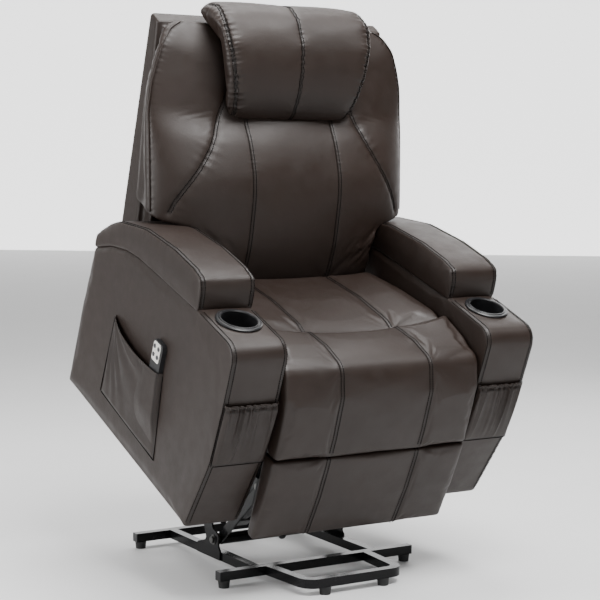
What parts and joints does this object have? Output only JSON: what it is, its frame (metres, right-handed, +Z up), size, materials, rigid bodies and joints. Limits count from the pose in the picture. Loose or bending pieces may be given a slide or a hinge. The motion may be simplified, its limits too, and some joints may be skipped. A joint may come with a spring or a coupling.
{
  "type": "lift recliner chair",
  "caption": "Upholstered power lift recliner on a steel lift base, shown raised, with a reclining back, folding leg rest, cup holders, pockets and a button handset.",
  "frame": {"origin": "on the floor under the middle of the raised chair's outer box", "axes": "+Z up, the chair faces -Y, +X is to the right as seen from the front"},
  "size_m": [0.962, 0.9806, 1.5778],
  "materials": {
    "black_steel": "gloss powder coat",
    "zinc_steel": "zinc plated, satin",
    "polished_steel": "polished",
    "motor_plastic": "matte",
    "foot_rubber": "matte",
    "black_plastic": "fine spark texture, satin",
    "faceplate_plastic": "satin",
    "button_plastic": "satin",
    "plywood": "bare",
    "leather_skin": "fine grained, semi-matte, dark brown",
    "padded_leather": "fine grained leather over foam, semi-matte, dark brown"
  },
  "bodies": {
    "base": {"base_front_crossbar": "black_steel", "base_rear_crossbar": "black_steel", "base_side_rail_left": "black_steel", "base_side_rail_right": "black_steel", "base_front_loop": "black_steel", "base_feet": "foot_rubber", "crossbar_end_caps": "black_plastic", "riser_plate_left": "black_steel", "riser_plate_right": "black_steel", "base_pivot_bolts": "zinc_steel", "lift_motor_bracket": "black_steel"},
    "lift_links": {"lift_torque_tube": "black_steel", "lower_link_left": "black_steel", "lower_link_right": "black_steel", "lift_lever": "black_steel"},
    "upper_links": {"upper_link_left": "black_steel", "upper_link_right": "black_steel"},
    "lift_motor": {"lift_motor": "motor_plastic"},
    "lift_rod": {"lift_rod": "polished_steel"},
    "chair": {"seat_side_plate_right": "black_steel", "seat_side_plate_left": "black_steel", "lift_bracket_right": "black_steel", "lift_bracket_left": "black_steel", "chair_pivot_bolts": "zinc_steel", "front_cross_tube": "black_steel", "rear_cross_tube": "black_steel", "seat_deck": "plywood", "recline_pins": "zinc_steel", "frame_bolts": "zinc_steel", "control_box": "motor_plastic", "seat_cushion": "padded_leather", "seat_front_roll": "padded_leather", "leg_pivot_tube": "zinc_steel", "arm_frame_right": "padded_leather", "arm_frame_left": "padded_leather", "arm_pad_right": "padded_leather", "arm_pad_left": "padded_leather", "cup_holder_right": "black_plastic", "cup_holder_left": "black_plastic", "front_pocket_right": "leather_skin", "front_pocket_left": "leather_skin", "side_pocket": "leather_skin"},
    "leg_rest": {"leg_board": "plywood", "leg_frame": "black_steel", "upper_leg_pad": "padded_leather", "lower_leg_pad": "padded_leather"},
    "leg_motor": {"leg_motor": "motor_plastic"},
    "leg_rod": {"leg_rod": "polished_steel"},
    "back": {"back_shell": "leather_skin", "back_frame": "black_steel", "back_cushion": "padded_leather", "head_pillow": "padded_leather"},
    "back_motor": {"back_motor": "motor_plastic"},
    "back_rod": {"back_rod": "polished_steel"},
    "handset": {"handset_body": "black_plastic", "handset_faceplate": "faceplate_plastic"},
    "button_raise": {"button_raise": "button_plastic"},
    "button_lower": {"button_lower": "button_plastic"},
    "button_recline": {"button_recline": "button_plastic"},
    "button_sit_up": {"button_sit_up": "button_plastic"}
  },
  "joints": [
    {"name": "lift", "type": "hinge", "parent": "base", "child": "lift_links", "pos_m": [0, 0.0764, 0.075], "axis": [1, 0, 0], "range_deg": [0, 39.11]},
    {"name": "chair_tilt", "type": "hinge", "parent": "lift_links", "child": "chair", "pos_m": [0, -0.15539, 0.26728], "axis": [1, 0, 0], "range_deg": [-60.74, 0]},
    {"name": "upper_link_swing", "type": "hinge", "parent": "base", "child": "upper_links", "pos_m": [0, 0.1124, 0.15], "axis": [1, 0, 0], "range_deg": [0, 39.9]},
    {"name": "lift_motor_tilt", "type": "hinge", "parent": "base", "child": "lift_motor", "pos_m": [0, 0.3474, 0.085], "axis": [1, 0, 0], "range_deg": [0, 7.62]},
    {"name": "lift_rod_slide", "type": "slide", "parent": "lift_motor", "child": "lift_rod", "axis": [0, -0.83, 0.5577], "range_m": [0, 0.10056]},
    {"name": "leg_rest", "type": "hinge", "parent": "chair", "child": "leg_rest", "pos_m": [0, -0.39689, 0.57068], "axis": [-1, 0, 0], "range_deg": [0, 82]},
    {"name": "leg_motor_tilt", "type": "hinge", "parent": "chair", "child": "leg_motor", "pos_m": [0, 0.18807, 0.62805], "axis": [1, 0, 0], "range_deg": [-4.97, 0]},
    {"name": "leg_rod_slide", "type": "slide", "parent": "leg_motor", "child": "leg_rod", "axis": [0, -0.9598, -0.2808], "range_m": [0, 0.14111]},
    {"name": "recline", "type": "hinge", "parent": "chair", "child": "back", "pos_m": [0, 0.19958, 0.73478], "axis": [-1, 0, 0], "range_deg": [0, 38]},
    {"name": "back_motor_tilt", "type": "hinge", "parent": "chair", "child": "back_motor", "pos_m": [0, -0.20444, 0.48663], "axis": [1, 0, 0], "range_deg": [0, 1.8]},
    {"name": "back_rod_slide", "type": "slide", "parent": "back_motor", "child": "back_rod", "axis": [0, 0.9464, 0.3229], "range_m": [-0.06729, 0]},
    {"name": "handset_slide", "type": "slide", "parent": "chair", "child": "handset", "axis": [0, -0.3681, 0.9298], "range_m": [0, 0.12]},
    {"name": "button_raise_press", "type": "slide", "parent": "handset", "child": "button_raise", "axis": [1, 0, 0], "range_m": [0, 0.0012], "stiffness_N_per_m": 400},
    {"name": "button_lower_press", "type": "slide", "parent": "handset", "child": "button_lower", "axis": [1, 0, 0], "range_m": [0, 0.0012], "stiffness_N_per_m": 400},
    {"name": "button_recline_press", "type": "slide", "parent": "handset", "child": "button_recline", "axis": [1, 0, 0], "range_m": [0, 0.0012], "stiffness_N_per_m": 400},
    {"name": "button_sit_up_press", "type": "slide", "parent": "handset", "child": "button_sit_up", "axis": [1, 0, 0], "range_m": [0, 0.0012], "stiffness_N_per_m": 400}
  ],
  "couplings": [
    {"joint": "chair_tilt", "follows": "lift", "ratio": -1.5523},
    {"joint": "upper_link_swing", "follows": "lift", "ratio": 1.0198},
    {"joint": "lift_motor_tilt", "follows": "lift", "ratio": 0.19468},
    {"joint": "lift_rod_slide", "follows": "lift", "m_per_rad": 0.14726},
    {"joint": "leg_motor_tilt", "follows": "leg_rest", "ratio": -0.060548},
    {"joint": "leg_rod_slide", "follows": "leg_rest", "m_per_rad": 0.098547},
    {"joint": "back_motor_tilt", "follows": "recline", "ratio": 0.047296},
    {"joint": "back_rod_slide", "follows": "recline", "m_per_rad": -0.10141}
  ]
}
